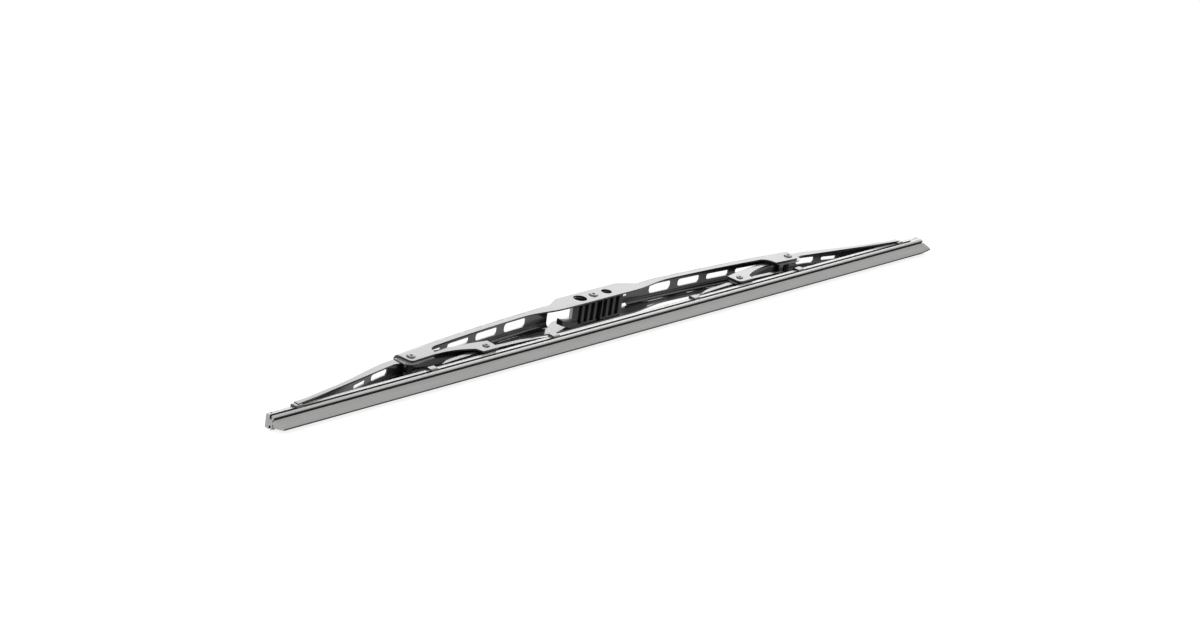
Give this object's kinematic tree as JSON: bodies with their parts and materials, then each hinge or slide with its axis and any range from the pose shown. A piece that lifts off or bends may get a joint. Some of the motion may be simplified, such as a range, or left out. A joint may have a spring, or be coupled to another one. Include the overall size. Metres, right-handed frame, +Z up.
{
  "type": "wiper blade",
  "caption": "Framed windscreen wiper blade: a vented steel bridge with an arm adapter carries pivoting bridges and yokes whose claws hold a rubber element.",
  "frame": {"origin": "middle of the blade's length and depth, on the surface it lies on", "axes": "+X along the blade, +Y from the rubber lip to the bridge's spine, +Z up; the blade lies on its side, so its pivots' axes lean from +Z towards -Y"},
  "size_m": [0.45, 0.0386, 0.017],
  "materials": {
    "black_paint": "semi-gloss",
    "rivet_steel": "semi-gloss",
    "spring_steel": "satin",
    "rubber": "matt graphite",
    "black_plastic": "satin",
    "liner_plastic": "satin"
  },
  "bodies": {
    "bridge": {"primary_bridge": "black_paint", "centre_pin": "rivet_steel", "main_rivet_left": "rivet_steel", "main_rivet_right": "rivet_steel", "rubber_element": "rubber", "vertebra_upper": "spring_steel", "vertebra_lower": "spring_steel"},
    "secondary_left": {"secondary_bridge_left": "black_paint", "main_liner_left": "liner_plastic", "yoke_rivet_left": "rivet_steel"},
    "yoke_left": {"yoke_left": "black_paint", "yoke_liner_left": "liner_plastic"},
    "secondary_right": {"secondary_bridge_right": "black_paint", "main_liner_right": "liner_plastic", "yoke_rivet_right": "rivet_steel"},
    "yoke_right": {"yoke_right": "black_paint", "yoke_liner_right": "liner_plastic"},
    "adapter": {"hook_adapter": "black_plastic"}
  },
  "joints": [
    {"name": "main_pivot_left", "type": "hinge", "parent": "bridge", "child": "secondary_left", "pos_m": [-0.1314, 0.00165, 0.00696], "axis": [0, -0.2323, 0.9726], "range_deg": [-6, 6], "stiffness_Nm_per_rad": 1.2, "deforming": ["rubber_element", "vertebra_upper", "vertebra_lower"]},
    {"name": "yoke_pivot_left", "type": "hinge", "parent": "secondary_left", "child": "yoke_left", "pos_m": [-0.0886, -0.00341, 0.00575], "axis": [0, -0.2323, 0.9726], "range_deg": [-3.5, 6], "stiffness_Nm_per_rad": 1.2, "deforming": ["rubber_element", "vertebra_upper", "vertebra_lower"]},
    {"name": "main_pivot_right", "type": "hinge", "parent": "bridge", "child": "secondary_right", "pos_m": [0.1314, 0.00165, 0.00696], "axis": [0, -0.2323, 0.9726], "range_deg": [-6, 6], "stiffness_Nm_per_rad": 1.2, "deforming": ["rubber_element", "vertebra_upper", "vertebra_lower"]},
    {"name": "yoke_pivot_right", "type": "hinge", "parent": "secondary_right", "child": "yoke_right", "pos_m": [0.0886, -0.00341, 0.00575], "axis": [0, -0.2323, 0.9726], "range_deg": [-6, 3.5], "stiffness_Nm_per_rad": 1.2, "deforming": ["rubber_element", "vertebra_upper", "vertebra_lower"]},
    {"name": "adapter_pivot", "type": "hinge", "parent": "bridge", "child": "adapter", "pos_m": [0, 0.01283, 0.00963], "axis": [0, -0.2323, 0.9726], "range_deg": [-15, 15]}
  ]
}
